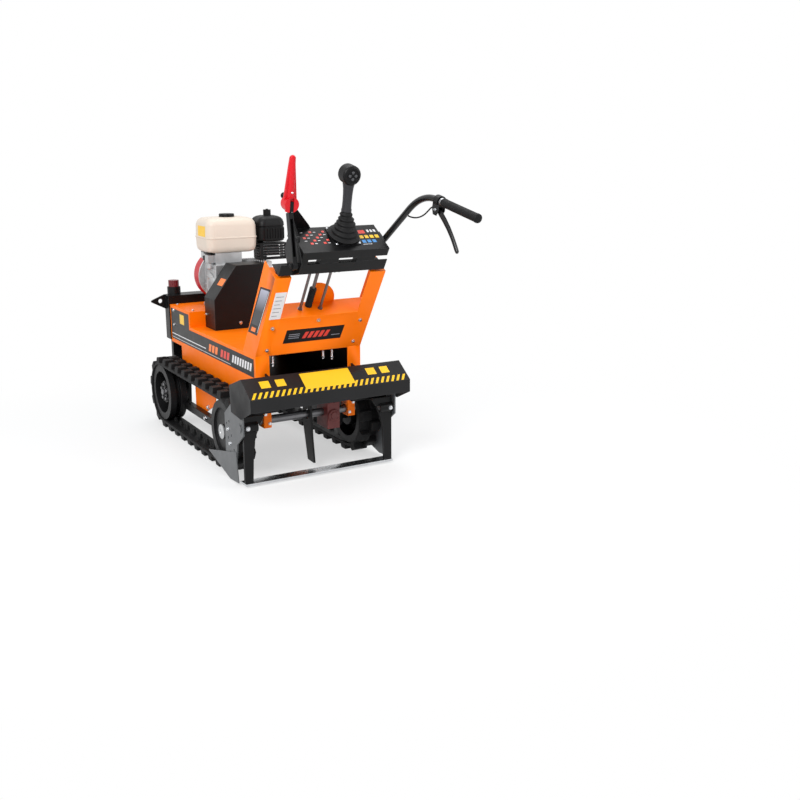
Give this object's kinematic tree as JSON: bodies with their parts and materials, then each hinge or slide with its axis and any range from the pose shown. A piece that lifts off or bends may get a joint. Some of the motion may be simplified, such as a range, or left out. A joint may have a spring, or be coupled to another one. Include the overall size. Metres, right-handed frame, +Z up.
{
  "type": "sod cutter",
  "caption": "Walk-behind tracked sod cutter with a swinging under-cutting knife, rear push cover, petrol engine and a leaning control tower.",
  "frame": {"origin": "on the ground, under the middle of the machine", "axes": "+Y forward, towards the engine; +X the operator's right; +Z up"},
  "size_m": [0.625, 1.7108, 1.1402],
  "materials": {
    "orange_paint": "satin powder coat",
    "black_paint": "satin powder coat",
    "grey_paint": "satin",
    "wheel_paint": "satin",
    "steel": "brushed",
    "alloy": "cast",
    "red_paint": "gloss",
    "dark_red": "painted casting",
    "cream_plastic": "gloss",
    "black_plastic": "moulded",
    "red_plastic": "moulded",
    "grey_plastic": "moulded",
    "rubber": "matt"
  },
  "bodies": {
    "machine": {"chassis_frame": "black_paint", "body_panel_left": "orange_paint", "body_panel_right": "orange_paint", "deck": "orange_paint", "rear_tower": "orange_paint", "bumper_tank": "black_paint", "engine_crankcase": "alloy", "engine_cylinder": "alloy", "fan_cover": "red_paint", "fuel_tank": "cream_plastic", "air_cleaner": "black_plastic", "muffler": "grey_paint", "muffler_guard": "black_paint", "drive_belt": "rubber", "hydraulic_pump": "grey_paint", "belt_guard": "black_paint", "track_belt_left": "rubber", "track_belt_right": "rubber", "track_frames": "black_paint", "drive_motors": "grey_paint", "adjuster_plates": "grey_paint", "side_knives": "grey_paint", "centre_slicer": "black_paint", "eccentric_housing": "dark_red", "bearing_caps": "orange_paint", "hinge_tube": "black_paint", "console_frame": "black_paint", "console_tray": "black_paint", "rubber_mounts": "rubber", "joystick_boot": "rubber", "control_rods": "grey_paint", "handlebar": "black_paint", "hand_grip": "rubber", "lever_clamp": "black_paint", "lever_cable": "rubber"},
    "cover": {"push_cover": "black_paint"},
    "knife": {"knife_arms": "black_paint", "knife_blade": "steel"},
    "eccentric": {"eccentric_shaft": "steel"},
    "crank": {"crankshaft": "steel"},
    "pump_drive": {"pump_pulley": "steel"},
    "wheel_left": {"drive_wheel_left": "wheel_paint"},
    "wheel_right": {"drive_wheel_right": "wheel_paint"},
    "idler_wheel_left": {"idler_left": "wheel_paint"},
    "idler_wheel_right": {"idler_right": "wheel_paint"},
    "gimbal": {"joystick_gimbal": "steel"},
    "stick": {"joystick_handle": "black_plastic"},
    "key_top": {"button_top": "grey_plastic"},
    "key_bottom": {"button_bottom": "grey_plastic"},
    "key_left": {"button_left": "grey_plastic"},
    "key_right": {"button_right": "grey_plastic"},
    "clutch": {"clutch_arm": "black_paint", "clutch_handle": "red_plastic"},
    "latch": {"clutch_latch": "black_plastic"},
    "throttle": {"throttle_lever": "black_paint"},
    "brake_lever": {"hand_lever": "black_paint"},
    "oil_cap": {"filler_cap": "red_plastic"},
    "petrol_cap": {"fuel_cap": "black_plastic"},
    "air_knob": {"air_cleaner_knob": "black_plastic"},
    "starter": {"recoil_grip": "black_plastic"}
  },
  "joints": [
    {"name": "cover_push", "type": "hinge", "parent": "machine", "child": "cover", "pos_m": [0, -0.18458, 0.357], "axis": [1, 0, 0], "range_deg": [0, 6], "stiffness_Nm_per_rad": 60, "springref_deg": -17.19},
    {"name": "knife_swing", "type": "hinge", "parent": "machine", "child": "knife", "pos_m": [0, -0.21958, 0.217], "axis": [1, 0, 0], "range_deg": [-3.5, 3.5]},
    {"name": "eccentric_spin", "type": "hinge", "parent": "machine", "child": "eccentric", "pos_m": [0, -0.11958, 0.205], "axis": [1, 0, 0], "continuous": true},
    {"name": "crank_spin", "type": "hinge", "parent": "machine", "child": "crank", "pos_m": [-0.015, 0.56542, 0.632], "axis": [0, 1, 0], "continuous": true},
    {"name": "pump_spin", "type": "hinge", "parent": "machine", "child": "pump_drive", "pos_m": [-0.07, 0.46542, 0.479], "axis": [0, 1, 0], "continuous": true},
    {"name": "drive_left_spin", "type": "hinge", "parent": "machine", "child": "wheel_left", "pos_m": [-0.255, 0.70042, 0.15], "axis": [1, 0, 0], "continuous": true},
    {"name": "idler_left_spin", "type": "hinge", "parent": "machine", "child": "idler_wheel_left", "pos_m": [-0.255, -0.00158, 0.15], "axis": [1, 0, 0], "continuous": true},
    {"name": "drive_right_spin", "type": "hinge", "parent": "machine", "child": "wheel_right", "pos_m": [0.255, 0.70042, 0.15], "axis": [1, 0, 0], "continuous": true},
    {"name": "idler_right_spin", "type": "hinge", "parent": "machine", "child": "idler_wheel_right", "pos_m": [0.255, -0.00158, 0.15], "axis": [1, 0, 0], "continuous": true},
    {"name": "joystick_pitch", "type": "hinge", "parent": "machine", "child": "gimbal", "pos_m": [0.047, -0.3434, 0.88803], "axis": [1, 0, 0], "range_deg": [-18, 18], "stiffness_Nm_per_rad": 8, "deforming": ["joystick_boot"]},
    {"name": "joystick_roll", "type": "hinge", "parent": "gimbal", "child": "stick", "pos_m": [0.047, -0.3434, 0.88803], "axis": [0, 0.9781, 0.2079], "range_deg": [-18, 18], "stiffness_Nm_per_rad": 8, "deforming": ["joystick_boot"]},
    {"name": "button_top_press", "type": "slide", "parent": "stick", "child": "key_top", "axis": [0, 0.9781, 0.2079], "range_m": [0, 0.0015], "stiffness_N_per_m": 500, "springref_m": -0.002},
    {"name": "button_bottom_press", "type": "slide", "parent": "stick", "child": "key_bottom", "axis": [0, 0.9781, 0.2079], "range_m": [0, 0.0015], "stiffness_N_per_m": 500, "springref_m": -0.002},
    {"name": "button_left_press", "type": "slide", "parent": "stick", "child": "key_left", "axis": [0, 0.9781, 0.2079], "range_m": [0, 0.0015], "stiffness_N_per_m": 500, "springref_m": -0.002},
    {"name": "button_right_press", "type": "slide", "parent": "stick", "child": "key_right", "axis": [0, 0.9781, 0.2079], "range_m": [0, 0.0015], "stiffness_N_per_m": 500, "springref_m": -0.002},
    {"name": "clutch_swing", "type": "hinge", "parent": "machine", "child": "clutch", "pos_m": [-0.166, -0.39257, 0.78932], "axis": [-1, 0, 0], "range_deg": [0, 22]},
    {"name": "latch_lift", "type": "slide", "parent": "clutch", "child": "latch", "axis": [0, -0.2079, 0.9781], "range_m": [0, 0.01], "stiffness_N_per_m": 300, "springref_m": -0.01},
    {"name": "throttle_swing", "type": "hinge", "parent": "machine", "child": "throttle", "pos_m": [-0.136, -0.36164, 0.87022], "axis": [1, 0, 0], "range_deg": [-25, 25]},
    {"name": "lever_squeeze", "type": "hinge", "parent": "machine", "child": "brake_lever", "pos_m": [0.24, -0.62733, 0.96922], "axis": [-1, 0, 0], "range_deg": [0, 28], "stiffness_Nm_per_rad": 3, "springref_deg": -11.46},
    {"name": "oil_cap_turn", "type": "hinge", "parent": "machine", "child": "oil_cap", "pos_m": [-0.176, 0.81542, 0.59], "axis": [0, 0, 1], "range_deg": [0, 120]},
    {"name": "petrol_cap_turn", "type": "hinge", "parent": "machine", "child": "petrol_cap", "pos_m": [0.006, 0.63292, 0.885], "axis": [0, 0, 1], "range_deg": [0, 90]},
    {"name": "air_knob_turn", "type": "hinge", "parent": "machine", "child": "air_knob", "pos_m": [0.176, 0.60542, 0.89], "axis": [0, 0, 1], "continuous": true},
    {"name": "starter_pull", "type": "slide", "parent": "machine", "child": "starter", "axis": [0, 1, 0], "range_m": [0, 0.35], "stiffness_N_per_m": 20, "springref_m": -0.4}
  ],
  "couplings": [
    {"joint": "pump_spin", "follows": "crank_spin", "ratio": 1.5},
    {"joint": "idler_left_spin", "follows": "drive_left_spin", "ratio": 1},
    {"joint": "idler_right_spin", "follows": "drive_right_spin", "ratio": 1}
  ]
}
